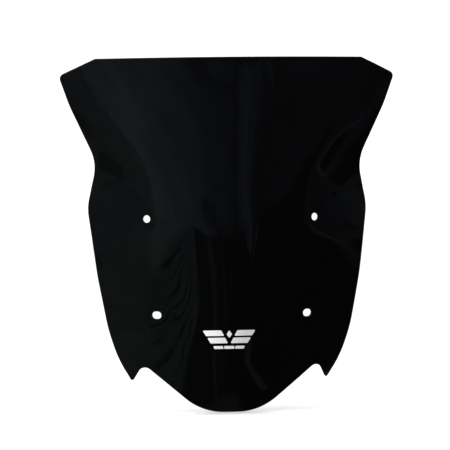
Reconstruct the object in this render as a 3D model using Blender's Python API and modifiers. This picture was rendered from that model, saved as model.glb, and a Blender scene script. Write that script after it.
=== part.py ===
"""Touring windshield screen: one formed acrylic sheet with four screw holes and a foil badge.

Frame: metres, +Z up along the screen, X across it, -Y towards the road and +Y towards the rider.
The origin is the centre of the four screw seats on the front face.
"""
import math

import bmesh
import bpy
from mathutils import Vector

MM = 0.001

# Sheet
SHEET_THICKNESS = 3.0
SHEET_CELL = 10.0
SHEET_MARGIN = 8.0

# Right half of the trim line, top to bottom: x, z and corner radius. The left half mirrors it.
TRIM_CORNERS = (
    (174.0, 270.2, 5.0),      # end of the top edge
    (220.6, 249.4, 7.0),      # ear
    (206.7, 210.2, 200.0),    # flank above the waist
    (172.2, 136.5, 56.0),     # waist
    (184.6, 78.6, 70.0),      # bulge beside the upper screws
    (172.9, -11.7, 400.0),    # long lower flank
    (159.6, -81.8, 230.0),
    (146.8, -120.2, 160.0),
    (128.3, -151.0, 2.4),     # horn
    (115.2, -126.6, 8.8),     # notch
    (38.2, -191.9, 78.0),     # lobe
)
ARC_STEP_ANGLE = math.radians(7.0)
ARC_STEP_LENGTH = 9.0

# Lateral wrap: a rounded nose whose radius opens out upwards
WRAP_SLOPE = 0.49
NOSE_LOW, NOSE_HIGH = 43.0, 320.0
FORM_BOTTOM, FORM_HEIGHT = -190.0, 462.0

# Crease: a soft bend that runs from each ear in and down to the upper screws
CREASE_X, CREASE_RAKE, CREASE_KNEE = 80.0, 0.66, 92.0
CREASE_KNEE_WIDTH, CREASE_WIDTH = 50.0, 30.0
CREASE_LOW, CREASE_HIGH = 0.06, 0.15
CREASE_RISE_Z, CREASE_RISE = 40.0, 35.0
WAIST_PINCH, WAIST_Z, WAIST_SPREAD = 0.13, 125.0, 60.0

# Tuck: the lower lobe bends back under the nose
TUCK_DEPTH, TUCK_Z, TUCK_WIDTH, TUCK_REACH = 30.0, -60.0, 40.0, 100.0

# Screw holes, each in a flat landing
UPPER_SCREW = (110.0, 62.4)
LOWER_SCREW = (98.5, -62.4)
HOLE_DIAMETER = 9.8
SLOT_LENGTH = 12.6
LANDING_FLAT, LANDING_OUTER = 19.0, 38.0
HOLE_SIDES = 24

# How far the cutting tools reach either side of the middle of their cut
TRIM_REACH, DRILL_REACH, FOIL_REACH = 200.0, 12.0, 60.0
WELD_DISTANCE = 0.01

# Foil badge: outlines around its own centre
BADGE_CENTRE = (-6.5, -95.0)
BADGE_GAP, BADGE_THICKNESS, BADGE_CELL = 0.3, 0.5, 3.0
BLADES = {
    "upper": ((6.5, 5.2), (10.5, 12.4), (34.0, 12.4), (29.6, 5.2)),
    "lower": ((1.6, -4.4), (5.4, 2.8), (28.2, 2.8), (23.8, -4.4)),
}
DIAMOND = ((0.0, 12.4), (-3.6, 7.4), (0.0, 2.4), (3.6, 7.4))
DASH_HALF_HEIGHT, DASH_Z, DASH_SLANT = 1.9, -9.8, 1.6
DASHES = {"left": (-20.5, -8.5), "centre": (-6.5, 6.5), "right": (8.5, 20.5)}


def soft_ramp(t, width):
    """Return 0 well below t = 0 and t well above it, with a rounded knee between."""
    return 0.5 * (t + math.sqrt(t * t + width * width))


def free_form(x, z):
    """Depth in mm of the front face, before the landings, from an arbitrary zero."""
    u = abs(x)
    nose = NOSE_LOW * (NOSE_HIGH / NOSE_LOW) ** ((z - FORM_BOTTOM) / FORM_HEIGHT)
    wrap = WRAP_SLOPE * (math.sqrt(u * u + nose * nose) - nose)
    rise = 1.0 / (1.0 + math.exp((CREASE_RISE_Z - z) / CREASE_RISE))
    bend = CREASE_LOW + (CREASE_HIGH - CREASE_LOW) * rise
    bend += WAIST_PINCH * math.exp(-((z - WAIST_Z) / WAIST_SPREAD) ** 2)
    crease_x = CREASE_X + CREASE_RAKE * soft_ramp(z - CREASE_KNEE, CREASE_KNEE_WIDTH)
    crease = bend * (soft_ramp(u - crease_x, CREASE_WIDTH) - soft_ramp(-crease_x, CREASE_WIDTH))
    tuck = TUCK_DEPTH * (soft_ramp(TUCK_Z - z, TUCK_WIDTH) / TUCK_REACH) ** 2
    return wrap + crease + tuck


SEAT_LEVEL = 0.5 * (free_form(*UPPER_SCREW) + free_form(*LOWER_SCREW))
SCREWS = {
    "upper_left": (-UPPER_SCREW[0], UPPER_SCREW[1]),
    "upper_right": UPPER_SCREW,
    "lower_left": (-LOWER_SCREW[0], LOWER_SCREW[1]),
    "lower_right": LOWER_SCREW,
}


def form_slope(form, x, z, step=0.01):
    """Slopes dy/dx and dy/dz of a depth function at a point."""
    along_x = (form(x + step, z) - form(x - step, z)) / (2 * step)
    along_z = (form(x, z + step) - form(x, z - step)) / (2 * step)
    return along_x, along_z


def landing_planes():
    """Tangent plane of the free form at each screw: centre, depth and slopes."""
    planes = {}
    for name, (x, z) in SCREWS.items():
        planes[name] = (x, z, free_form(x, z), *form_slope(free_form, x, z))
    return planes


LANDINGS = landing_planes()


def front_depth(x, z):
    """Depth in mm of the finished front face: the free form with its four flat landings."""
    depth = free_form(x, z)
    for cx, cz, level, slope_x, slope_z in LANDINGS.values():
        reach = math.hypot(x - cx, z - cz)
        if reach < LANDING_OUTER:
            t = max(0.0, (reach - LANDING_FLAT) / (LANDING_OUTER - LANDING_FLAT))
            flat = 1.0 - t * t * (3.0 - 2.0 * t)
            plane = level + slope_x * (x - cx) + slope_z * (z - cz)
            depth += flat * (plane - depth)
    return depth - SEAT_LEVEL


def outward(x, z):
    """Unit normal of the front face, towards the road."""
    slope_x, slope_z = form_slope(front_depth, x, z)
    return Vector((slope_x, -1.0, slope_z)).normalized()


def fillet(before, corner, after, radius):
    """Points of the arc that rounds a corner of an outline."""
    corner = Vector(corner)
    inward = (Vector(before) - corner).normalized()
    onward = (Vector(after) - corner).normalized()
    half = inward.angle(onward) / 2
    centre = corner + (inward + onward).normalized() * radius / math.sin(half)
    start = corner + inward * radius / math.tan(half) - centre
    turn = math.pi - 2 * half
    sign = 1.0 if start.cross(-inward) > 0 else -1.0
    steps = max(2, math.ceil(max(turn / ARC_STEP_ANGLE, turn * radius / ARC_STEP_LENGTH)))
    points = []
    for i in range(steps + 1):
        angle = sign * turn * i / steps
        c, s = math.cos(angle), math.sin(angle)
        points.append(centre + Vector((c * start.x - s * start.y, s * start.x + c * start.y)))
    return points


def trim_line():
    """Closed outline of the screen in mm, clockwise from the top edge seen from the front."""
    chain = [(0.0, TRIM_CORNERS[0][1])] + [corner[:2] for corner in TRIM_CORNERS]
    chain.append((0.0, TRIM_CORNERS[-1][1]))
    right = []
    for i, (x, z, radius) in enumerate(TRIM_CORNERS, start=1):
        right += fillet(chain[i - 1], (x, z), chain[i + 1], radius)
    left = [Vector((-p.x, p.y)) for p in reversed(right)]
    return right + left


def slot_line(width, height):
    """Rounded slot in mm around the origin; a round hole when both sizes are equal."""
    radius = height / 2
    shift = (width - height) / 2
    points = []
    for i in range(HOLE_SIDES):
        angle = 2 * math.pi * (i + 0.5) / HOLE_SIDES
        side = math.copysign(shift, math.cos(angle))
        points.append((side + radius * math.cos(angle), radius * math.sin(angle)))
    return points


def clear_scene():
    for obj in list(bpy.data.objects):
        bpy.data.objects.remove(obj, do_unlink=True)


def new_collection(name):
    collection = bpy.data.collections.new(name)
    bpy.context.scene.collection.children.link(collection)
    return collection


def principled(name, colour, roughness, metallic):
    material = bpy.data.materials.new(name)
    material.use_nodes = True
    shader = material.node_tree.nodes["Principled BSDF"]
    shader.inputs["Base Color"].default_value = (*colour, 1.0)
    shader.inputs["Roughness"].default_value = roughness
    shader.inputs["Metallic"].default_value = metallic
    return material


def make_prism(name, points, half_length, collection):
    """Closed solid of a flat XZ outline in mm, extruded both ways along Y."""
    curve = bpy.data.curves.new(name, "CURVE")
    curve.dimensions = "2D"
    curve.fill_mode = "BOTH"
    curve.extrude = half_length * MM
    spline = curve.splines.new("POLY")
    spline.points.add(len(points) - 1)
    for place, (x, z) in zip(spline.points, points):
        place.co = (x * MM, z * MM, 0.0, 1.0)
    spline.use_cyclic_u = True
    guide = bpy.data.objects.new(name + "_curve", curve)
    guide.rotation_euler.x = math.pi / 2
    bpy.context.scene.collection.objects.link(guide)
    bpy.context.view_layer.update()
    evaluated = guide.evaluated_get(bpy.context.evaluated_depsgraph_get())
    mesh = bpy.data.meshes.new_from_object(evaluated)
    weld(mesh)
    prism = bpy.data.objects.new(name, mesh)
    prism.matrix_world = guide.matrix_world
    bpy.data.objects.remove(guide, do_unlink=True)
    collection.objects.link(prism)
    prism.hide_render = True
    prism.display_type = "WIRE"
    return prism


def weld(mesh):
    bm = bmesh.new()
    bm.from_mesh(mesh)
    bmesh.ops.remove_doubles(bm, verts=bm.verts, dist=WELD_DISTANCE * MM)
    bmesh.ops.recalc_face_normals(bm, faces=bm.faces)
    bm.to_mesh(mesh)
    bm.free()


def formed_sheet(name, x_range, z_range, cell, lift, thickness, material, collection):
    """Rectangle of formed sheet whose front face lies a lift in front of the screen's face."""
    width, height = x_range[1] - x_range[0], z_range[1] - z_range[0]
    columns, rows = 2 * math.ceil(width / cell / 2), math.ceil(height / cell)
    bm = bmesh.new()
    bmesh.ops.create_grid(bm, x_segments=columns, y_segments=rows, size=0.5)
    for vert in bm.verts:
        x = x_range[0] + (vert.co.x + 0.5) * width
        z = z_range[0] + (vert.co.y + 0.5) * height
        place = Vector((x, front_depth(x, z), z))
        vert.co = (place + lift * outward(x, z)) * MM
    bmesh.ops.recalc_face_normals(bm, faces=bm.faces)
    bm.normal_update()
    if sum(face.normal.y for face in bm.faces) > 0:
        bmesh.ops.reverse_faces(bm, faces=bm.faces)
    mesh = bpy.data.meshes.new(name)
    bm.to_mesh(mesh)
    bm.free()
    mesh.materials.append(material)
    sheet = bpy.data.objects.new(name, mesh)
    collection.objects.link(sheet)
    solidify = sheet.modifiers.new("Thickness", "SOLIDIFY")
    solidify.thickness = thickness * MM
    solidify.offset = -1.0
    solidify.use_even_offset = True
    return sheet


def cut(target, cutter, operation):
    boolean = target.modifiers.new(operation.title() + " " + cutter.name, "BOOLEAN")
    boolean.operation = operation
    boolean.object = cutter
    boolean.solver = "EXACT"


def make_screen(material, parts, cutters):
    """The formed sheet, trimmed to its outline and drilled square to each landing."""
    trim = trim_line()
    widest = max(point.x for point in trim) + SHEET_MARGIN
    lowest = min(point.y for point in trim) - SHEET_MARGIN
    highest = max(point.y for point in trim) + SHEET_MARGIN
    screen = formed_sheet("screen_panel", (-widest, widest), (lowest, highest), SHEET_CELL,
                          0.0, SHEET_THICKNESS, material, parts)
    cut(screen, make_prism("trim_cutter", trim, TRIM_REACH, cutters), "INTERSECT")
    for name, (x, z) in SCREWS.items():
        length = SLOT_LENGTH if name.startswith("lower") else HOLE_DIAMETER
        drill = make_prism("drill_" + name, slot_line(length, HOLE_DIAMETER), DRILL_REACH, cutters)
        drill.rotation_mode = "QUATERNION"
        facing = Vector((0.0, -1.0, 0.0)).rotation_difference(outward(x, z))
        drill.matrix_world = facing.to_matrix().to_4x4() @ drill.matrix_world
        drill.location = Vector((x, front_depth(x, z), z)) * MM
        cut(screen, drill, "DIFFERENCE")
    return screen


def make_foil(name, outline, material, parts, cutters):
    """One foil piece of the badge, laid on the curve of the screen."""
    centre_x, centre_z = BADGE_CENTRE
    points = [(centre_x + x, centre_z + z) for x, z in outline]
    x_range = min(p[0] for p in points) - BADGE_CELL, max(p[0] for p in points) + BADGE_CELL
    z_range = min(p[1] for p in points) - BADGE_CELL, max(p[1] for p in points) + BADGE_CELL
    foil = formed_sheet(name, x_range, z_range, BADGE_CELL, BADGE_GAP + BADGE_THICKNESS,
                        BADGE_THICKNESS, material, parts)
    cut(foil, make_prism(name + "_cutter", points, FOIL_REACH, cutters), "INTERSECT")
    return foil


def make_badge(material, parts, cutters):
    for row, blade in BLADES.items():
        make_foil(f"badge_blade_{row}_right", blade, material, parts, cutters)
        mirrored = [(-x, z) for x, z in blade]
        make_foil(f"badge_blade_{row}_left", mirrored, material, parts, cutters)
    make_foil("badge_diamond", DIAMOND, material, parts, cutters)
    for side, (start, end) in DASHES.items():
        lean = DASH_SLANT * (1 if start > 0 else -1 if end < 0 else 0)
        low, high = DASH_Z - DASH_HALF_HEIGHT, DASH_Z + DASH_HALF_HEIGHT
        dash = ((start - lean, low), (start, high), (end, high), (end - lean, low))
        make_foil(f"badge_dash_{side}", dash, material, parts, cutters)


def main():
    clear_scene()
    parts = new_collection("windshield_screen")
    cutters = new_collection("windshield_screen_cutters")
    acrylic = principled("smoked_acrylic", (0.006, 0.006, 0.007), 0.05, 0.0)
    foil = principled("silver_foil", (0.82, 0.83, 0.85), 0.25, 1.0)
    make_screen(acrylic, parts, cutters)
    make_badge(foil, parts, cutters)


main()
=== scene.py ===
"""Looks for the touring windshield screen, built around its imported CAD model.

Frame: metres, +Z up along the screen, X across it, -Y towards the road. The shape functions work
in millimetres and repeat the driving dimensions of the CAD source.
"""
import math

import bpy
import numpy as np
from mathutils import Matrix, Vector
from mathutils.geometry import delaunay_2d_cdt


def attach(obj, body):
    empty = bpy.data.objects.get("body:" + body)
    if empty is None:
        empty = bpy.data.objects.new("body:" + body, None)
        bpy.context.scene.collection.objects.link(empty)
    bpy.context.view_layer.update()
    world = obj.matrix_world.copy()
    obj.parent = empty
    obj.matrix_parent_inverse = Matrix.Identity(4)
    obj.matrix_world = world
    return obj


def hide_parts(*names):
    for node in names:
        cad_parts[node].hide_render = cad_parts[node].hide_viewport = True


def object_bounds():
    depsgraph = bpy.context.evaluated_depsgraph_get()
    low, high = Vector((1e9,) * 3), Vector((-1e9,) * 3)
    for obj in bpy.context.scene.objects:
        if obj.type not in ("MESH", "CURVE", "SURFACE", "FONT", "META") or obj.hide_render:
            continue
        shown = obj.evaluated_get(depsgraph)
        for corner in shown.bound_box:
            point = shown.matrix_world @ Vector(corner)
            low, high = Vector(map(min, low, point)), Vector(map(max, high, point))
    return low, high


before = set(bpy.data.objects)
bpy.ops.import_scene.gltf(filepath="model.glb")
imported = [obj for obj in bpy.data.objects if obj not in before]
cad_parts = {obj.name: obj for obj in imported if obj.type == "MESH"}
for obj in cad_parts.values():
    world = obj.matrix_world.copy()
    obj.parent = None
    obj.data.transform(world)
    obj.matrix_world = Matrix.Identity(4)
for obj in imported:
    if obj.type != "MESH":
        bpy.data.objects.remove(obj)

CAD_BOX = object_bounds()
MM = 0.001

# ---------------------------------------------------------------- sheet form

THICKNESS = 3.0
TRIM_CORNERS = (
    (174.0, 270.2, 5.0),      # end of the top edge
    (220.6, 249.4, 7.0),      # ear
    (206.7, 210.2, 200.0),    # flank above the waist
    (172.2, 136.5, 56.0),     # waist
    (184.6, 78.6, 70.0),      # bulge beside the upper screws
    (172.9, -11.7, 400.0),    # long lower flank
    (159.6, -81.8, 230.0),
    (146.8, -120.2, 160.0),
    (128.3, -151.0, 2.4),     # horn
    (115.2, -126.6, 8.8),     # notch
    (38.2, -191.9, 78.0),     # lobe
)
WRAP_SLOPE = 0.49
NOSE_LOW, NOSE_HIGH = 43.0, 320.0
FORM_BOTTOM, FORM_HEIGHT = -190.0, 462.0
CREASE_X, CREASE_RAKE, CREASE_KNEE = 80.0, 0.66, 92.0
CREASE_KNEE_WIDTH, CREASE_WIDTH = 50.0, 30.0
CREASE_LOW, CREASE_HIGH = 0.06, 0.15
CREASE_RISE_Z, CREASE_RISE = 40.0, 35.0
WAIST_PINCH, WAIST_Z, WAIST_SPREAD = 0.13, 125.0, 60.0
TUCK_DEPTH, TUCK_Z, TUCK_WIDTH, TUCK_REACH = 30.0, -60.0, 40.0, 100.0
UPPER_SCREW = (110.0, 62.4)
LOWER_SCREW = (98.5, -62.4)
HOLE_DIAMETER, SLOT_LENGTH = 9.8, 12.6
LANDING_FLAT, LANDING_OUTER = 9.0, 26.0

# Forming ripple: the faint waviness of a heated and stretched sheet (height mm, wavelength mm, heading)
RIPPLES = ((0.030, 83.0, 0.35), (0.022, 57.0, 2.10), (0.014, 37.0, 1.25), (0.008, 23.0, 2.75))
# How far each wave of it meanders, in radians, and how fast along its crest
RIPPLE_MEANDER, RIPPLE_MEANDER_RATE = 0.8, 2.1

# Fineness of the mesh: cell over the faces, step along the trim line, and sides of a hole
PANEL_CELL, TRIM_STEP, HOLE_SIDES = 2.6, 2.2, 56
# Rounded corners in an outline: the largest turn between two points, and the fewest steps
CORNER_TURN, CORNER_STEPS = math.radians(7.5), 4
# How far the lattice inside an outline keeps from its edge and from a hole, in cells
EDGE_KEEP, HOLE_KEEP = 0.7, 0.5
# Radii of the rims, the rings in each of their quarter turns, and the least cosine in a mitre
EDGE_ROUND, LIP_ROUND = 0.9, 0.45
ARC_RINGS = 5
MITRE_LEAST = 0.8

# ---------------------------------------------------------------- foil badge

BADGE_CENTRE = (-6.5, -95.0)
FOIL_LIFT, FOIL_THICKNESS, FOIL_ROUND, FOIL_CELL = 0.32, 0.28, 0.08, 1.0
FOIL_CORNER = 0.9
# Half the length, in mm either side of the badge's middle, over which painted shade darkens the foil from
# left to right
FOIL_SHADE_HALF_SPAN = 34.0
BLADES = {
    "upper": ((6.5, 5.2), (10.5, 12.4), (34.0, 12.4), (29.6, 5.2)),
    "lower": ((1.6, -4.4), (5.4, 2.8), (28.2, 2.8), (23.8, -4.4)),
}
DIAMOND = ((0.0, 12.4), (-3.6, 7.4), (0.0, 2.4), (3.6, 7.4))
DASH_HALF_HEIGHT, DASH_Z, DASH_SLANT = 1.9, -9.8, 1.6
DASHES = {"left": (-20.5, -8.5), "centre": (-6.5, 6.5), "right": (8.5, 20.5)}


def soft_ramp(t, width):
    """0 well below t = 0 and t well above it, with a rounded knee between."""
    return 0.5 * (t + np.sqrt(t * t + width * width))


def free_form(x, z):
    """Depth of the front face, before the landings, from an arbitrary zero."""
    u = np.abs(x)
    nose = NOSE_LOW * (NOSE_HIGH / NOSE_LOW) ** ((z - FORM_BOTTOM) / FORM_HEIGHT)
    wrap = WRAP_SLOPE * (np.sqrt(u * u + nose * nose) - nose)
    rise = 1.0 / (1.0 + np.exp((CREASE_RISE_Z - z) / CREASE_RISE))
    bend = CREASE_LOW + (CREASE_HIGH - CREASE_LOW) * rise
    bend = bend + WAIST_PINCH * np.exp(-((z - WAIST_Z) / WAIST_SPREAD) ** 2)
    crease_x = CREASE_X + CREASE_RAKE * soft_ramp(z - CREASE_KNEE, CREASE_KNEE_WIDTH)
    crease = bend * (soft_ramp(u - crease_x, CREASE_WIDTH) - soft_ramp(-crease_x, CREASE_WIDTH))
    tuck = TUCK_DEPTH * (soft_ramp(TUCK_Z - z, TUCK_WIDTH) / TUCK_REACH) ** 2
    return wrap + crease + tuck


def slopes(form, x, z, step=0.02):
    """Slopes dy/dx and dy/dz of a depth function."""
    along_x = (form(x + step, z) - form(x - step, z)) / (2 * step)
    along_z = (form(x, z + step) - form(x, z - step)) / (2 * step)
    return along_x, along_z


SEAT_LEVEL = 0.5 * (free_form(*UPPER_SCREW) + free_form(*LOWER_SCREW))
SCREWS = [(side * x, z) for x, z in (UPPER_SCREW, LOWER_SCREW) for side in (-1.0, 1.0)]
LANDINGS = [(x, z, free_form(x, z), *slopes(free_form, x, z)) for x, z in SCREWS]


def ripple(x, z):
    """Height of the forming ripple: a few waves that cross and meander."""
    height = 0.0
    for amplitude, wavelength, heading in RIPPLES:
        along = x * math.cos(heading) + z * math.sin(heading)
        across = z * math.cos(heading) - x * math.sin(heading)
        bend = RIPPLE_MEANDER * np.sin(RIPPLE_MEANDER_RATE * across / wavelength)
        height = height + amplitude * np.sin(2 * math.pi * along / wavelength + bend)
    return height


def front_depth(x, z):
    """Depth of the finished front face: free form, ripple and the four flat landings."""
    depth = free_form(x, z) + ripple(x, z)
    for cx, cz, level, slope_x, slope_z in LANDINGS:
        reach = np.hypot(x - cx, z - cz)
        t = np.clip((reach - LANDING_FLAT) / (LANDING_OUTER - LANDING_FLAT), 0.0, 1.0)
        flat = 1.0 - t * t * (3.0 - 2.0 * t)
        plane = level + slope_x * (x - cx) + slope_z * (z - cz)
        depth = depth + flat * (plane - depth)
    return depth - SEAT_LEVEL


def normals_at(xz):
    """Unit normals of the front face, towards the road, one row per point."""
    slope_x, slope_z = slopes(front_depth, xz[:, 0], xz[:, 1])
    rows = np.stack([slope_x, -np.ones_like(slope_x), slope_z], axis=1)
    return rows / np.linalg.norm(rows, axis=1)[:, None]


def surface_at(xz, lift):
    """Points a lift in front of the front face."""
    base = np.stack([xz[:, 0], front_depth(xz[:, 0], xz[:, 1]), xz[:, 1]], axis=1)
    return base + lift * normals_at(xz)


# ---------------------------------------------------------------- flat outlines


def fillet(before, corner, after, radius, spacing):
    """Points of the arc that rounds a corner of an outline."""
    corner = Vector(corner)
    inward = (Vector(before) - corner).normalized()
    onward = (Vector(after) - corner).normalized()
    half = inward.angle(onward) / 2
    centre = corner + (inward + onward).normalized() * radius / math.sin(half)
    start = corner + inward * radius / math.tan(half) - centre
    turn = math.pi - 2 * half
    sign = 1.0 if start.cross(-inward) > 0 else -1.0
    steps = max(CORNER_STEPS, math.ceil(max(turn / CORNER_TURN, turn * radius / spacing)))
    points = []
    for i in range(steps + 1):
        angle = sign * turn * i / steps
        c, s = math.cos(angle), math.sin(angle)
        points.append(centre + Vector((c * start.x - s * start.y, s * start.x + c * start.y)))
    return points


def close_gaps(points, spacing):
    """Closed loop as an array, with long straight stretches divided evenly."""
    loop = []
    for i, start in enumerate(points):
        end = points[(i + 1) % len(points)]
        length = math.hypot(end[0] - start[0], end[1] - start[1])
        if length < 1e-6:
            continue
        steps = max(1, math.ceil(length / spacing))
        for k in range(steps):
            f = k / steps
            loop.append((start[0] + (end[0] - start[0]) * f, start[1] + (end[1] - start[1]) * f))
    return np.array(loop)


def trim_loop(spacing):
    """Outline of the screen, clockwise from the top edge seen from the front."""
    chain = [(0.0, TRIM_CORNERS[0][1])] + [corner[:2] for corner in TRIM_CORNERS]
    chain.append((0.0, TRIM_CORNERS[-1][1]))
    right = []
    for i, (x, z, radius) in enumerate(TRIM_CORNERS, start=1):
        right += fillet(chain[i - 1], (x, z), chain[i + 1], radius, spacing)
    left = [Vector((-p.x, p.y)) for p in reversed(right)]
    return close_gaps(right + left, spacing)


def rounded_polygon(corners, radius, spacing):
    """Closed loop round some corners, each with the same radius."""
    points = []
    count = len(corners)
    for i, corner in enumerate(corners):
        points += fillet(corners[i - 1], corner, corners[(i + 1) % count], radius, spacing)
    return close_gaps(points, spacing)


def hole_loop(cx, cz, width, height):
    """Rim of a hole or slot drilled square to its landing, as XZ points."""
    centre = np.array([[cx, cz]])
    normal = Vector(normals_at(centre)[0])
    across = Vector((0.0, 0.0, 1.0)).cross(normal).normalized() * -1.0
    upward = across.cross(normal).normalized()
    if upward.z < 0:
        upward = -upward
    radius, shift = height / 2, (width - height) / 2
    loop = []
    for i in range(HOLE_SIDES):
        angle = 2 * math.pi * (i + 0.5) / HOLE_SIDES
        a = math.copysign(shift, math.cos(angle)) + radius * math.cos(angle)
        b = radius * math.sin(angle)
        point = across * a + upward * b
        loop.append((cx + point.x, cz + point.z))
    return np.array(loop)


def turned(loop, clockwise):
    """The loop, reversed if it doesn't already run the way asked for."""
    x, z = loop[:, 0], loop[:, 1]
    area = 0.5 * np.sum(x * np.roll(z, -1) - np.roll(x, -1) * z)
    return loop[::-1].copy() if (area < 0) != clockwise else loop


def inside(points, loop):
    """Whether each point lies inside a closed loop."""
    crossings = np.zeros(len(points), dtype=int)
    x, z = points[:, 0], points[:, 1]
    for (x0, z0), (x1, z1) in zip(loop, np.roll(loop, -1, axis=0)):
        if z0 == z1:
            continue
        spans = (z0 > z) != (z1 > z)
        crossings += spans & (x < x0 + (z - z0) * (x1 - x0) / (z1 - z0))
    return crossings % 2 == 1


def clearance(points, loop):
    """Distance from each point to the nearest of a loop's points."""
    best = np.full(len(points), np.inf)
    for px, pz in loop:
        best = np.minimum(best, np.hypot(points[:, 0] - px, points[:, 1] - pz))
    return best


def fill_points(outer, holes, cell):
    """Triangular lattice inside the outer loop and clear of every loop."""
    low, high = outer.min(axis=0), outer.max(axis=0)
    rise = cell * math.sqrt(0.75)
    rows = np.arange(low[1], high[1], rise)
    lattice = [
        np.stack([np.arange(low[0] + (k % 2) * cell / 2, high[0], cell)] * 2, axis=1)
        for k in range(len(rows))
    ]
    for row, height in zip(lattice, rows):
        row[:, 1] = height
    points = np.concatenate(lattice)
    keep = inside(points, outer) & (clearance(points, outer) > EDGE_KEEP * cell)
    for hole in holes:
        keep &= ~inside(points, hole) & (clearance(points, hole) > HOLE_KEEP * cell)
    return points[keep]


def triangulate(outer, holes, cell):
    """Flat triangles over the area between the loops. The loops' points come first, in order."""
    loops = [outer] + holes
    filling = fill_points(outer, holes, cell)
    points = np.concatenate(loops + [filling])
    edges, start = [], 0
    for loop in loops:
        count = len(loop)
        edges += [(start + i, start + (i + 1) % count) for i in range(count)]
        start += count
    made = delaunay_2d_cdt([Vector(p) for p in points], edges, [], 0, 1e-7)
    verts, faces, origins = made[0], np.array(made[2]), made[3]
    places = np.array([tuple(v) for v in verts])
    centres = places[faces].mean(axis=1)
    keep = inside(centres, outer)
    for hole in holes:
        keep &= ~inside(centres, hole)
    faces = faces[keep]
    back = np.zeros(len(verts), dtype=int)
    for i, origin in enumerate(origins):
        back[i] = origin[0]
    return points, back[faces]


# ---------------------------------------------------------------- sheet solids


def loop_frames(loop, lift):
    """For a loop on the surface: points, face normals and in-surface directions away from the sheet."""
    points, normals = surface_at(loop, lift), normals_at(loop)
    before = points - np.roll(points, 1, axis=0)
    after = np.roll(points, -1, axis=0) - points
    before /= np.linalg.norm(before, axis=1)[:, None]
    after /= np.linalg.norm(after, axis=1)[:, None]
    along = before + after
    along /= np.linalg.norm(along, axis=1)[:, None]
    outward = np.cross(normals, along)
    outward /= np.linalg.norm(outward, axis=1)[:, None]
    stretch = 1.0 / np.clip(np.abs(np.sum(along * after, axis=1)), MITRE_LEAST, 1.0)
    return points, normals, outward, stretch


def sheet_solid(name, outer, holes, cell, lift, thickness, outer_round, hole_round):
    """Closed sheet that follows the form, with rounded rims and exact normals.

    Loops run so that the sheet is on the left; each is inset by its rim radius for the flat faces.
    """
    loops = [turned(outer, clockwise=True)] + [turned(hole, clockwise=False) for hole in holes]
    rounds = [outer_round] + [hole_round] * len(holes)
    rims, inset = [], []
    for loop, radius in zip(loops, rounds):
        points, normals, outward, stretch = loop_frames(loop, lift)
        shrink = outward * (radius * stretch)[:, None]
        inset.append((points - shrink)[:, [0, 2]])
        rims.append((normals, outward, stretch, radius))
    flat, faces = triangulate(inset[0], inset[1:], cell)
    front, facing = surface_at(flat, lift), normals_at(flat)
    side = np.cross(front[faces[:, 1]] - front[faces[:, 0]], front[faces[:, 2]] - front[faces[:, 0]])
    flipped = np.sum(side * facing[faces[:, 0]], axis=1) < 0
    faces[flipped] = faces[flipped][:, ::-1]

    count = len(front)
    verts = [front, front - thickness * facing]
    normals_out = [facing, -facing]
    polygons = [tuple(f) for f in faces] + [tuple(f[::-1] + count) for f in faces]
    surface_faces = len(polygons)
    total, start = 2 * count, 0
    for rim_normals, outward, stretch, radius in rims:
        size = len(rim_normals)
        index = np.arange(start, start + size)
        base, up = front[index], facing[index]
        rings = [index]
        for k in range(1, ARC_RINGS + 1):
            turn = 0.5 * math.pi * k / ARC_RINGS
            reach = outward * stretch[:, None] * radius * math.sin(turn)
            verts.append(base - radius * up + radius * math.cos(turn) * up + reach)
            normals_out.append(math.cos(turn) * up + math.sin(turn) * outward)
            rings.append(np.arange(total, total + size))
            total += size
        for k in range(ARC_RINGS, 0, -1):
            turn = 0.5 * math.pi * k / ARC_RINGS
            reach = outward * stretch[:, None] * radius * math.sin(turn)
            verts.append(base - (thickness - radius) * up - radius * math.cos(turn) * up + reach)
            normals_out.append(-math.cos(turn) * up + math.sin(turn) * outward)
            rings.append(np.arange(total, total + size))
            total += size
        rings.append(index + count)
        for upper, lower in zip(rings, rings[1:]):
            for i in range(size):
                j = (i + 1) % size
                polygons.append((upper[i], upper[j], lower[j], lower[i]))
        start += size

    mesh = bpy.data.meshes.new(name)
    mesh.from_pydata((np.concatenate(verts) * MM).tolist(), [], [tuple(map(int, p)) for p in polygons])
    mesh.polygons.foreach_set("use_smooth", [True] * len(mesh.polygons))
    exact = np.concatenate(normals_out)
    exact /= np.linalg.norm(exact, axis=1)[:, None]
    mesh.normals_split_custom_set_from_vertices(exact.tolist())
    mesh.update()
    piece = bpy.data.objects.new(name, mesh)
    bpy.context.scene.collection.objects.link(piece)
    return piece, surface_faces


# ---------------------------------------------------------------- materials


ACRYLIC_IOR = 1.49
SMOKE_DARK, SMOKE_LIGHT = (0.00030, 0.00034, 0.00042), (0.00050, 0.00055, 0.00068)
RIM_DARK, RIM_LIGHT = (0.0035, 0.0036, 0.0040), (0.008, 0.008, 0.009)
# Painted light and shade on the foil: its colour at the lit left end of the badge, then at the shaded
# right end
FOIL_LIT, FOIL_SHADED = (0.97, 0.97, 0.98), (0.56, 0.55, 0.58)
FOIL_METALLIC = 0.3
# Noise scales: polish haze, depth of the smoke, orange peel, sawn and polished rim, brushed foil
HAZE_SCALE, SMOKE_SCALE, PEEL_SCALE, RIM_SCALE, FOIL_SCALE = 14.0, 5.0, 260.0, 420.0, 900.0
# The foil's grain is drawn out along the badge, and shifts its brightness a little
FOIL_STRETCH, FOIL_GRAIN = (0.08, 1.0, 1.0), 0.35


def new_material(name):
    """A material with its node tree's nodes and links, and its shader."""
    material = bpy.data.materials.new(name)
    material.use_nodes = True
    nodes, links = material.node_tree.nodes, material.node_tree.links
    return material, nodes, links, nodes["Principled BSDF"]


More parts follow.
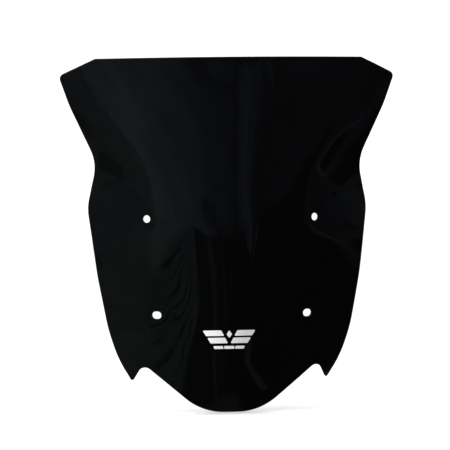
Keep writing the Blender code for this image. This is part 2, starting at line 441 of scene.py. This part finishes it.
def noise(nodes, links, coordinates, scale, detail, stretch=(1.0, 1.0, 1.0)):
    """Noise texture in object space; stretch squeezes it along an axis."""
    mapping = nodes.new("ShaderNodeMapping")
    mapping.inputs["Scale"].default_value = stretch
    links.new(coordinates.outputs["Object"], mapping.inputs["Vector"])
    texture = nodes.new("ShaderNodeTexNoise")
    texture.inputs["Scale"].default_value = scale
    texture.inputs["Detail"].default_value = detail
    links.new(mapping.outputs["Vector"], texture.inputs["Vector"])
    return texture


def ranged(nodes, links, socket, source, target):
    """Map a 0 to 1 style value from one range onto another."""
    node = nodes.new("ShaderNodeMapRange")
    node.inputs["From Min"].default_value, node.inputs["From Max"].default_value = source
    node.inputs["To Min"].default_value, node.inputs["To Max"].default_value = target
    links.new(socket, node.inputs["Value"])
    return node.outputs["Result"]


def blended(nodes, links, socket, first, second):
    """Colour that runs from the first to the second as a value goes from 0 to 1."""
    tint = nodes.new("ShaderNodeMix")
    tint.data_type = "RGBA"
    tint.inputs["A"].default_value = (*first, 1.0)
    tint.inputs["B"].default_value = (*second, 1.0)
    links.new(socket, tint.inputs["Factor"])
    return tint.outputs["Result"]


def bumped(nodes, links, shader, socket, strength, distance):
    """Small relief on a shader's surface; the distance is in metres."""
    bump = nodes.new("ShaderNodeBump")
    bump.inputs["Strength"].default_value = strength
    bump.inputs["Distance"].default_value = distance
    links.new(socket, bump.inputs["Height"])
    links.new(bump.outputs["Normal"], shader.inputs["Normal"])


def acrylic_material():
    """Near-opaque dark smoke acrylic: deep gloss, faint polish haze and orange peel."""
    material, nodes, links, shader = new_material("smoked_acrylic_gloss")
    coordinates = nodes.new("ShaderNodeTexCoord")
    shader.inputs["IOR"].default_value = ACRYLIC_IOR
    haze = noise(nodes, links, coordinates, HAZE_SCALE, 3.0)
    links.new(ranged(nodes, links, haze.outputs["Fac"], (0.35, 0.65), (0.008, 0.03)),
              shader.inputs["Roughness"])
    depth = noise(nodes, links, coordinates, SMOKE_SCALE, 2.0)
    links.new(blended(nodes, links, depth.outputs["Fac"], SMOKE_DARK, SMOKE_LIGHT),
              shader.inputs["Base Color"])
    peel = noise(nodes, links, coordinates, PEEL_SCALE, 2.0)
    bumped(nodes, links, shader, peel.outputs["Fac"], 0.05, 0.0001)
    return material


def edge_material():
    """Trimmed and flame-polished rim: a little greyer and softer than the faces."""
    material, nodes, links, shader = new_material("smoked_acrylic_rim")
    coordinates = nodes.new("ShaderNodeTexCoord")
    shader.inputs["IOR"].default_value = ACRYLIC_IOR
    grain = noise(nodes, links, coordinates, RIM_SCALE, 3.0)
    links.new(ranged(nodes, links, grain.outputs["Fac"], (0.3, 0.7), (0.12, 0.24)),
              shader.inputs["Roughness"])
    links.new(blended(nodes, links, grain.outputs["Fac"], RIM_DARK, RIM_LIGHT),
              shader.inputs["Base Color"])
    bumped(nodes, links, shader, grain.outputs["Fac"], 0.15, 0.0002)
    return material


def foil_material():
    """Silver foil with a fine brushed grain, and painted light and shade: lighter towards its left end,
    darker towards its right.
    """
    material, nodes, links, shader = new_material("silver_foil_satin")
    coordinates = nodes.new("ShaderNodeTexCoord")
    shader.inputs["Metallic"].default_value = FOIL_METALLIC
    grain = noise(nodes, links, coordinates, FOIL_SCALE, 3.0, stretch=FOIL_STRETCH)
    links.new(ranged(nodes, links, grain.outputs["Fac"], (0.3, 0.7), (0.30, 0.44)),
              shader.inputs["Roughness"])
    axes = nodes.new("ShaderNodeSeparateXYZ")
    links.new(coordinates.outputs["Object"], axes.inputs["Vector"])
    # Painted shade: the foil's colour runs from lit at the badge's left end to shaded at its right, with
    # the grain added on top
    left, right = ((BADGE_CENTRE[0] + side * FOIL_SHADE_HALF_SPAN) * MM for side in (-1.0, 1.0))
    fade = ranged(nodes, links, axes.outputs["X"], (left, right), (0.0, 1.0))
    grain_and_shade = nodes.new("ShaderNodeMath")
    grain_and_shade.operation = "MULTIPLY_ADD"
    links.new(grain.outputs["Fac"], grain_and_shade.inputs[0])
    grain_and_shade.inputs[1].default_value = FOIL_GRAIN
    links.new(fade, grain_and_shade.inputs[2])
    links.new(blended(nodes, links, grain_and_shade.outputs["Value"], FOIL_LIT, FOIL_SHADED),
              shader.inputs["Base Color"])
    bumped(nodes, links, shader, grain.outputs["Fac"], 0.12, 0.00005)
    return material


# ---------------------------------------------------------------- object


def make_panel(face, rim):
    """The sheet with its four holes: one material on its faces, another on its rims."""
    holes = []
    for x, z in SCREWS:
        width = HOLE_DIAMETER if z > 0 else SLOT_LENGTH
        holes.append(hole_loop(x, z, width, HOLE_DIAMETER))
    panel, surface_faces = sheet_solid("screen_sheet", trim_loop(TRIM_STEP), holes, PANEL_CELL, 0.0,
                                       THICKNESS, EDGE_ROUND, LIP_ROUND)
    panel.data.materials.append(face)
    panel.data.materials.append(rim)
    slots = [0] * surface_faces + [1] * (len(panel.data.polygons) - surface_faces)
    panel.data.polygons.foreach_set("material_index", slots)
    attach(panel, "root")
    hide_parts("screen_panel")


def make_foil(node, corners, material):
    """One foil piece on the sheet, in place of its CAD node."""
    centre_x, centre_z = BADGE_CENTRE
    placed = [(centre_x + x, centre_z + z) for x, z in corners]
    outline = rounded_polygon(placed, FOIL_CORNER, FOIL_CELL)
    foil, _ = sheet_solid("foil_" + node.removeprefix("badge_"), outline, [], FOIL_CELL, FOIL_LIFT,
                          FOIL_THICKNESS, FOIL_ROUND, FOIL_ROUND)
    foil.data.materials.append(material)
    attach(foil, "root")
    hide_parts(node)


def make_badge(material):
    """All eight foil pieces of the emblem."""
    for row, blade in BLADES.items():
        make_foil(f"badge_blade_{row}_right", blade, material)
        make_foil(f"badge_blade_{row}_left", [(-x, z) for x, z in blade], material)
    make_foil("badge_diamond", DIAMOND, material)
    for side, (start, end) in DASHES.items():
        lean = DASH_SLANT * (1 if start > 0 else -1 if end < 0 else 0)
        low, high = DASH_Z - DASH_HALF_HEIGHT, DASH_Z + DASH_HALF_HEIGHT
        dash = ((start - lean, low), (start, high), (end, high), (end - lean, low))
        make_foil(f"badge_dash_{side}", dash, material)


# ---------------------------------------------------------------- stage, light and camera


CAMERA_DISTANCE = 3.5
CAMERA_YAW = math.radians(6.0)
CAMERA_ROLL = math.radians(0.87)
CAMERA_LENS = 215.7
CAMERA_AIM = (-0.0078, 0.0, 0.0532)
CAMERA_SENSOR = 36.0

# The floor's width, how far it lies below the object, its grey and its roughness
FLOOR_SIZE, FLOOR_GAP, FLOOR_GREY, FLOOR_ROUGHNESS = 80.0, 0.0005, 0.92, 0.9
# Place, width and height, and power of each softbox. They face the object.
SOFTBOXES = {
    "overhead_softbox": ((0.0, -0.8, 2.2), (2.4, 1.4), 18.0),
    "left_softbox": ((-2.2, -1.4, 1.4), (0.9, 1.6), 35.0),
}

# Radiance of the studio: seen and lighting the object, then the room that only the gloss sees
STUDIO_WHITE = 1.25
ROOM_FRONT, ROOM_BACK, ROOM_CEILING, ROOM_FLOOR = 0.12, 0.22, 0.70, 0.06
# Where the room turns from front to back, by a direction's y, and into ceiling and floor, by its z
BACK_EDGE, CEILING_EDGE, FLOOR_EDGE = (0.0, 0.4), (0.15, 0.80), (-0.10, -0.70)
# Two tall soft windows behind the object: level, then where they start and end to either side
WINDOW_LEVEL = 1.3
WINDOW_START, WINDOW_END = (0.38, 0.58), (0.62, 0.86)

# A bay of three dim cards stands round the front and is seen only in the gloss. For each card:
# middle (x, y), the azimuth it stands at (0 is the road, positive to +X), and its level at places
# across it, in metres from its middle. The first and last place are its ends.
BAY_LOW, BAY_HIGH = -3.2, 0.45
BAY = {
    "left": ((-0.486, -0.460), -40.0, (
        (-0.80, 0.13), (-0.32, 0.14), (-0.18, 0.135), (-0.05, 0.140), (0.0, 0.185), (0.13, 0.190),
        (0.20, 0.162), (0.32, 0.140), (0.40, 0.118), (0.46, 0.095), (0.53, 0.080))),
    "middle": ((0.0, -0.8), 0.0, (
        (-0.08, 0.080), (0.0, 0.075), (0.07, 0.064), (0.12, 0.052), (0.145, 0.082), (0.19, 0.088),
        (0.23, 0.076), (0.26, 0.046), (0.30, 0.038), (0.35, 0.036))),
    "right": ((0.65, -0.28), 60.0, (
        (-0.60, 0.036), (-0.25, 0.042), (0.0, 0.036), (0.06, 0.060), (0.12, 0.075), (0.45, 0.10))),
}
# What is painted on the cards, in metres. A band runs straight between two places and a bow along
# part of an ellipse: middle, radii, and the angles it starts and ends at, in degrees from +u. Each
# then has its half width, softness, level and opacity.
BANDS = {
    "left": (
        ((0.03, 0.04), (0.14, 0.15), 0.01, 0.045, 0.235, 0.8),
        ((-0.25, 0.01), (-0.09, 0.04), 0.01, 0.02, 0.105, 0.7),
        ((-0.02, -0.12), (-0.10, -0.26), 0.015, 0.05, 0.10, 0.7),
        ((-0.20, -0.05), (-0.26, -0.10), 0.015, 0.025, 0.06, 0.8),
        ((-0.21, -0.06), (-0.25, -0.09), 0.001, 0.006, 0.10, 0.6),
        ((0.47, 0.29), (0.54, 0.28), 0.005, 0.01, 0.055, 0.8),
        ((0.42, 0.07), (0.54, 0.06), 0.01, 0.02, 0.05, 0.8),
        ((0.44, 0.0), (0.30, -0.80), 0.025, 0.01, 0.068, 0.9),
        ((0.30, -0.80), (0.15, -2.60), 0.025, 0.01, 0.068, 0.9),
    ),
    "middle": (
        ((-0.09, 0.29), (0.10, 0.26), 0.01, 0.01, 0.045, 0.8),
        ((0.12, 0.31), (0.22, 0.32), 0.01, 0.01, 0.045, 0.9),
        ((0.16, 0.29), (0.19, 0.25), 0.01, 0.015, 0.095, 0.7),
        ((0.21, 0.09), (0.27, 0.02), 0.015, 0.02, 0.105, 0.9),
        ((0.18, 0.24), (0.20, 0.04), 0.002, 0.005, 0.13, 0.7),
        ((0.20, 0.24), (0.21, 0.10), 0.002, 0.005, 0.055, 0.8),
        ((0.24, 0.32), (0.31, 0.26), 0.005, 0.01, 0.08, 0.8),
        ((-0.04, 0.0), (-0.06, -1.1), 0.01, 0.01, 0.045, 0.9),
        ((-0.06, -1.1), (0.08, -2.7), 0.01, 0.01, 0.045, 0.9),
        ((0.05, 0.0), (0.10, -2.0), 0.01, 0.01, 0.038, 0.8),
    ),
    "right": (
        ((-0.60, 0.30), (-0.30, 0.25), 0.01, 0.04, 0.05, 0.6),
        ((0.02, 0.10), (0.02, 0.0), 0.02, 0.006, 0.055, 0.9),
        ((0.02, 0.0), (0.06, -0.05), 0.02, 0.01, 0.045, 0.8),
        ((0.02, 0.03), (-0.12, 0.03), 0.02, 0.008, 0.047, 0.9),
        ((0.05, 0.03), (0.09, 0.05), 0.01, 0.006, 0.062, 0.9),
        ((0.09, 0.07), (0.19, -0.02), 0.015, 0.008, 0.07, 0.9),
        ((0.14, 0.13), (0.12, 0.12), 0.006, 0.008, 0.16, 0.8),
        ((-0.10, 0.01), (0.02, 0.0), 0.001, 0.006, 0.105, 0.9),
        ((0.02, 0.0), (0.05, -0.04), 0.001, 0.01, 0.07, 0.6),
        ((-0.60, -0.40), (-0.50, -0.90), 0.06, 0.02, 0.08, 0.9),
        ((-0.50, -0.90), (0.0, -1.15), 0.06, 0.02, 0.08, 0.9),
    ),
}
# A bright soft strip at the outer end of each side card, for the gloss in the side views
SIDE_STRIPS = {
    "left": (((-0.60, 0.25), (-0.60, -0.80), 0.05, 0.16, 0.90, 1.0),),
    "middle": (),
    "right": (((0.36, 0.25), (0.36, -0.80), 0.03, 0.11, 0.90, 1.0),),
}
BOWS = {
    "left": (
        ((0.0, 0.07), (0.06, 0.07), 110.0, 290.0, 0.001, 0.006, 0.105, 0.8),
    ),
    "middle": (
        ((0.35, -0.02), (0.04, 0.05), 90.0, 170.0, 0.003, 0.006, 0.11, 0.9),
    ),
    "right": (
        ((-0.10, 0.03), (0.04, 0.02), 90.0, 270.0, 0.001, 0.01, 0.06, 0.8),
        ((-0.40, 0.03), (0.22, 0.045), 20.0, 170.0, 0.001, 0.005, 0.06, 0.8),
    ),
}
BOW_STEPS = 6
# Faint lines fanning out at the top of the right card: the height of the first, the drop to the
# next, how many there are, how far each falls along its length, and where they start and end
FAN_TOP, FAN_DROP, FAN_LINES, FAN_FALL = 0.28, 0.012, 4, 0.035
FAN_START, FAN_END = -0.60, -0.36
FAN_PAINT = (0.001, 0.007, 0.06, 0.6)
# Height below which each card turns dark, the width of that change and the dark level
CARD_DARK = {"left": None, "middle": (0.040, 0.022, 0.019), "right": (0.058, 0.008, 0.016)}
# How far the levels and paint of each card waver along u, in metres, and v's share of it. Then the
# size of the waver's features along u and v, and its detail.
CARD_SWAY = {"left": 0.010, "middle": 0.020, "right": 0.006}
SWAY_SHARE, SWAY_SIZE, SWAY_DETAIL = -0.7, (0.09, 0.07), 3.0
# Clouding of the levels: its size and detail, and the noise that it scales the levels between
CLOUD_SIZE, CLOUD_DETAIL, CLOUD_NOISE, CLOUD_GAIN = (0.13, 0.045), 4.0, (0.25, 0.75), (0.84, 1.16)
# The even level far down on every card, and the heights between which it comes in
FOOT_LEVEL, FOOT_EDGE = 0.060, (-1.9, -2.7)

# A fan of folds on the left card: where they meet, the angles below the level that they span, the
# angle from one to the next, and their level
FOLD_MEET = (0.31, 0.03)
FOLD_FIRST, FOLD_LAST, FOLD_PITCH, FOLD_LEVEL = 10.0, 69.0, 8.0, 0.110
# The first fold drops away further out: the distances between which it does so, how far short of
# the last one it ends, and the degrees over which the folds come in
FOLD_DROP_REACH, FOLD_SHORT, FOLD_START = (0.15, 0.80), 15.0, (-3.0, 6.0)
# How many folds they wander by, and the sizes of that noise, in degrees and in the log of distance
FOLD_WANDER, FOLD_WANDER_SIZE, FOLD_WANDER_DETAIL = 2.2, (26.0, 0.9), 1.0
# The crest of each wave that is a dark crease. Then the noise that fades it: size, detail, and how
# dark the crease is at two of its values
FOLD_CREASE = (0.2, 0.95)
FOLD_FADE_SIZE, FOLD_FADE_DETAIL = (15.0, 0.6), 2.0
FOLD_FADE_NOISE, FOLD_DEPTH = (0.35, 0.60), (0.15, 0.62)
# The dark beyond the last fold: its level, half the degrees it comes in over, and the heights above
# the meeting place between which it comes in
SHADE_LEVEL, SHADE_SOFT, SHADE_TOP = 0.028, 2.0, (0.025, -0.01)

# Tints of the cards and the room, and the heights between which the left card turns greenish
COOL_TINT, GREEN_TINT = (0.93, 1.0, 1.10), (0.90, 1.0, 0.96)
TINT_EDGE = (0.05, -0.08)


def make_camera():
    """Camera at the photograph's viewing angle, aimed a little off the origin."""
    camera = bpy.data.objects.new("photo_camera", bpy.data.cameras.new("photo_camera"))
    camera.data.lens = CAMERA_LENS
    camera.data.sensor_width = CAMERA_SENSOR
    forward = Vector((math.sin(CAMERA_YAW), math.cos(CAMERA_YAW), 0.0))
    camera.location = Vector(CAMERA_AIM) - forward * CAMERA_DISTANCE
    upright = forward.to_track_quat("-Z", "Y").to_matrix().to_4x4()
    camera.rotation_euler = (upright @ Matrix.Rotation(-CAMERA_ROLL, 4, "Z")).to_euler()
    bpy.context.scene.collection.objects.link(camera)
    bpy.context.scene.camera = camera


def make_floor():
    """Plain pale floor just below the object, which the gloss doesn't see."""
    height = CAD_BOX[0][2] - FLOOR_GAP
    bpy.ops.mesh.primitive_plane_add(size=FLOOR_SIZE, location=(0.0, 0.0, height))
    floor = bpy.context.object
    floor.name = "studio_floor"
    material, _, _, shader = new_material("studio_floor_paper")
    shader.inputs["Base Color"].default_value = (FLOOR_GREY, FLOOR_GREY, FLOOR_GREY, 1.0)
    shader.inputs["Roughness"].default_value = FLOOR_ROUGHNESS
    floor.data.materials.append(material)
    floor.visible_glossy = False


def softbox(name, place, size, power):
    """Rectangular area light that faces the origin."""
    light = bpy.data.lights.new(name, "AREA")
    light.shape = "RECTANGLE"
    light.size, light.size_y = size
    light.energy = power
    lamp = bpy.data.objects.new(name, light)
    lamp.location = place
    lamp.rotation_euler = (-Vector(place)).to_track_quat("-Z", "Y").to_euler()
    bpy.context.scene.collection.objects.link(lamp)


class Graph:
    """Short calls for building a node tree of maths."""

    def __init__(self, tree):
        self.nodes, self.links = tree.nodes, tree.links

    def feed(self, socket, value):
        if isinstance(value, bpy.types.NodeSocket):
            self.links.new(value, socket)
        else:
            socket.default_value = value

    def math(self, operation, *values, clamp=False):
        node = self.nodes.new("ShaderNodeMath")
        node.operation = operation
        node.use_clamp = clamp
        for socket, value in zip(node.inputs, values):
            self.feed(socket, value)
        return node.outputs["Value"]

    def step(self, value, start, end, low=0.0, high=1.0):
        """Smooth step from low at start to high at end."""
        node = self.nodes.new("ShaderNodeMapRange")
        node.interpolation_type = "SMOOTHSTEP"
        places = {"Value": value, "From Min": start, "From Max": end, "To Min": low, "To Max": high}
        for key, item in places.items():
            self.feed(node.inputs[key], item)
        return node.outputs["Result"]

    def toward(self, value, target, amount):
        """The value, moved towards a target by an amount from 0 to 1."""
        return self.math("MULTIPLY_ADD", self.math("SUBTRACT", target, value), amount, value)

    def levels(self, value, stops):
        """Grey level from (place, level) stops."""
        low, high = stops[0][0], stops[-1][0]
        node = self.nodes.new("ShaderNodeValToRGB")
        node.color_ramp.interpolation = "EASE"
        elements = node.color_ramp.elements
        while len(elements) < len(stops):
            elements.new(0.5)
        for element, (place, level) in zip(elements, stops):
            element.position = (place - low) / (high - low)
            element.color = (level, level, level, 1.0)
        scaled = self.math("DIVIDE", self.math("SUBTRACT", value, low), high - low)
        self.feed(node.inputs["Fac"], scaled)
        return node.outputs["Color"]

    def noise(self, u, v, size_u, size_v, detail):
        """Noise from 0 to 1 over a card, with features of about the sizes given."""
        place = self.nodes.new("ShaderNodeCombineXYZ")
        self.feed(place.inputs["X"], self.math("DIVIDE", u, size_u))
        self.feed(place.inputs["Y"], self.math("DIVIDE", v, size_v))
        texture = self.nodes.new("ShaderNodeTexNoise")
        texture.inputs["Scale"].default_value = 1.0
        texture.inputs["Detail"].default_value = detail
        self.links.new(place.outputs["Vector"], texture.inputs["Vector"])
        return texture.outputs["Fac"]

    def square_distance(self, u, v, start, end):
        """Square of the distance to a straight line between two points."""
        du, dv = end[0] - start[0], end[1] - start[1]
        square = du * du + dv * dv
        from_u, from_v = self.math("SUBTRACT", u, start[0]), self.math("SUBTRACT", v, start[1])
        along = self.math("MULTIPLY", from_u, du / square)
        along = self.math("MULTIPLY_ADD", from_v, dv / square, along, clamp=True)
        off_u = self.math("MULTIPLY_ADD", along, -du, from_u)
        off_v = self.math("MULTIPLY_ADD", along, -dv, from_v)
        return self.math("MULTIPLY_ADD", off_u, off_u, self.math("MULTIPLY", off_v, off_v))

    def stroke(self, u, v, path, half_width, softness):
        """1 within half_width of a path, falling to 0 over the softness."""
        square = self.square_distance(u, v, path[0], path[1])
        for start, end in zip(path[1:], path[2:]):
            square = self.math("MINIMUM", square, self.square_distance(u, v, start, end))
        distance = self.math("SQRT", square)
        return self.step(distance, half_width, half_width + softness, 1.0, 0.0)


def fold_levels(graph, u, v, value):
    """Paints the fan of folds, and the dark beyond its last fold, over a card's level."""
    left = graph.math("SUBTRACT", FOLD_MEET[0], u)
    down = graph.math("SUBTRACT", FOLD_MEET[1], v)
    angle = graph.math("DEGREES", graph.math("ARCTAN2", down, left))
    reach = graph.math("SQRT", graph.math("MULTIPLY_ADD", left, left, graph.math("MULTIPLY", down, down)))
    first = graph.step(reach, *FOLD_DROP_REACH, FOLD_FIRST, FOLD_LAST - FOLD_SHORT)
    folded = graph.step(graph.math("SUBTRACT", angle, first), *FOLD_START)
    spread = graph.math("LOGARITHM", graph.math("MAXIMUM", reach, 0.01), math.e)
    drift = graph.noise(angle, spread, *FOLD_WANDER_SIZE, FOLD_WANDER_DETAIL)
    wander = graph.math("MULTIPLY", drift, FOLD_WANDER)
    phase = graph.math("ADD", graph.math("DIVIDE", angle, FOLD_PITCH), wander)
    wave = graph.math("SINE", graph.math("MULTIPLY", phase, 2 * math.pi))
    crease = graph.step(wave, *FOLD_CREASE)
    fade = graph.noise(angle, spread, *FOLD_FADE_SIZE, FOLD_FADE_DETAIL)
    depth = graph.step(fade, *FOLD_FADE_NOISE, *FOLD_DEPTH)
    cloth = graph.math("MULTIPLY", graph.math("SUBTRACT", 1.0, graph.math("MULTIPLY", crease, depth)),
                       FOLD_LEVEL)
    value = graph.toward(value, cloth, folded)
    beyond = graph.step(angle, FOLD_LAST - SHADE_SOFT, FOLD_LAST + SHADE_SOFT)
    top, bottom = (FOLD_MEET[1] + height for height in SHADE_TOP)
    below = graph.step(v, top, bottom)
    return graph.toward(value, SHADE_LEVEL, graph.math("MULTIPLY", beyond, below))


def bow_path(middle, radii, start, end):
    """Points along part of an ellipse."""
    path = []
    for i in range(BOW_STEPS + 1):
        angle = math.radians(start + (end - start) * i / BOW_STEPS)
        path.append((middle[0] + radii[0] * math.cos(angle), middle[1] + radii[1] * math.sin(angle)))
    return path


def painted(side):
    """Each path painted on a card, with its half width, softness, level and opacity."""
    for start, end, *paint in BANDS[side] + SIDE_STRIPS[side]:
        yield (start, end), paint
    for middle, radii, start, end, *paint in BOWS[side]:
        yield bow_path(middle, radii, start, end), paint
    if side == "right":
        for i in range(FAN_LINES):
            height = FAN_TOP - i * FAN_DROP
            yield ((FAN_START, height), (FAN_END, height - FAN_FALL)), FAN_PAINT


def card_material(side, stops):
    """Level over one card of the bay, painted in its own metres."""
    material = bpy.data.materials.new(f"bay_card_{side}")
    material.use_nodes = True
    nodes, links = material.node_tree.nodes, material.node_tree.links
    nodes.clear()
    graph = Graph(material.node_tree)
    coordinates = nodes.new("ShaderNodeTexCoord")
    axes = nodes.new("ShaderNodeSeparateXYZ")
    links.new(coordinates.outputs["Object"], axes.inputs["Vector"])
    flat_u, flat_v = axes.outputs["X"], axes.outputs["Y"]
    sway = graph.math("SUBTRACT", graph.noise(flat_u, flat_v, *SWAY_SIZE, SWAY_DETAIL), 0.5)
    u = graph.math("MULTIPLY_ADD", sway, CARD_SWAY[side], flat_u)
    v = graph.math("MULTIPLY_ADD", sway, SWAY_SHARE * CARD_SWAY[side], flat_v)

    value = graph.levels(u, stops)
    cloud = graph.noise(flat_u, flat_v, *CLOUD_SIZE, CLOUD_DETAIL)
    value = graph.math("MULTIPLY", value, graph.step(cloud, *CLOUD_NOISE, *CLOUD_GAIN))
    if CARD_DARK[side]:
        height, width, level = CARD_DARK[side]
        value = graph.toward(value, level, graph.step(v, height + width, height - width))
    else:
        value = fold_levels(graph, flat_u, flat_v, value)
    for path, (half_width, softness, level, opacity) in painted(side):
        mask = graph.stroke(u, v, path, half_width, softness)
        value = graph.toward(value, level, graph.math("MULTIPLY", mask, opacity))
    value = graph.toward(value, FOOT_LEVEL, graph.step(flat_v, *FOOT_EDGE))

    low_tint = GREEN_TINT if side == "left" else COOL_TINT
    tint = blended(nodes, links, graph.step(flat_v, *TINT_EDGE), COOL_TINT, low_tint)
    glow = nodes.new("ShaderNodeEmission")
    links.new(tint, glow.inputs["Color"])
    links.new(value, glow.inputs["Strength"])
    output = nodes.new("ShaderNodeOutputMaterial")
    links.new(glow.outputs["Emission"], output.inputs["Surface"])
    material.cycles.emission_sampling = "NONE"
    return material


def make_bay():
    """The three cards, seen by nothing but glossy rays."""
    for side, (middle, azimuth, stops) in BAY.items():
        turn = math.radians(azimuth)
        start, end = stops[0][0], stops[-1][0]
        mesh = bpy.data.meshes.new(f"bay_{side}")
        corners = [(start, BAY_LOW, 0), (end, BAY_LOW, 0), (end, BAY_HIGH, 0), (start, BAY_HIGH, 0)]
        mesh.from_pydata(corners, [], [(0, 1, 2, 3)])
        card = bpy.data.objects.new(f"bay_{side}", mesh)
        across = (math.cos(turn), math.sin(turn), 0.0)
        facing = (math.sin(turn), -math.cos(turn), 0.0)
        card.matrix_world = Matrix((across, (0.0, 0.0, 1.0), facing)).transposed().to_4x4()
        card.location = (*middle, 0.0)
        card.data.materials.append(card_material(side, stops))
        card.visible_camera = False
        card.visible_diffuse = False
        card.visible_transmission = False
        card.visible_shadow = False
        bpy.context.scene.collection.objects.link(card)


def make_world():
    """White to the camera, even light to the object, and a dim room to the gloss."""
    world = bpy.data.worlds.new("studio")
    bpy.context.scene.world = world
    world.use_nodes = True
    nodes, links = world.node_tree.nodes, world.node_tree.links
    nodes.clear()
    graph = Graph(world.node_tree)
    coordinates = nodes.new("ShaderNodeTexCoord")
    axes = nodes.new("ShaderNodeSeparateXYZ")
    links.new(coordinates.outputs["Generated"], axes.inputs["Vector"])
    behind = graph.step(axes.outputs["Y"], *BACK_EDGE)
    level = graph.toward(ROOM_FRONT, ROOM_BACK, behind)
    aside = graph.math("ABSOLUTE", axes.outputs["X"])
    inner = graph.step(aside, *WINDOW_START)
    outer = graph.step(aside, *WINDOW_END, 1.0, 0.0)
    window = graph.math("MULTIPLY", inner, outer)
    level = graph.toward(level, WINDOW_LEVEL, graph.math("MULTIPLY", behind, window))
    level = graph.toward(level, ROOM_CEILING, graph.step(axes.outputs["Z"], *CEILING_EDGE))
    level = graph.toward(level, ROOM_FLOOR, graph.step(axes.outputs["Z"], *FLOOR_EDGE))
    room = nodes.new("ShaderNodeBackground")
    room.inputs["Color"].default_value = (*COOL_TINT, 1.0)
    links.new(level, room.inputs["Strength"])
    white = nodes.new("ShaderNodeBackground")
    white.inputs["Color"].default_value = (1.0, 1.0, 1.0, 1.0)
    white.inputs["Strength"].default_value = STUDIO_WHITE
    path = nodes.new("ShaderNodeLightPath")
    mix = nodes.new("ShaderNodeMixShader")
    output = nodes.new("ShaderNodeOutputWorld")
    links.new(path.outputs["Is Glossy Ray"], mix.inputs["Fac"])
    links.new(white.outputs["Background"], mix.inputs[1])
    links.new(room.outputs["Background"], mix.inputs[2])
    links.new(mix.outputs["Shader"], output.inputs["Surface"])


bpy.context.scene.view_settings.view_transform = "Standard"
make_panel(acrylic_material(), edge_material())
make_badge(foil_material())
make_camera()
make_floor()
make_bay()
make_world()
for name, (place, size, power) in SOFTBOXES.items():
    softbox(name, place, size, power)
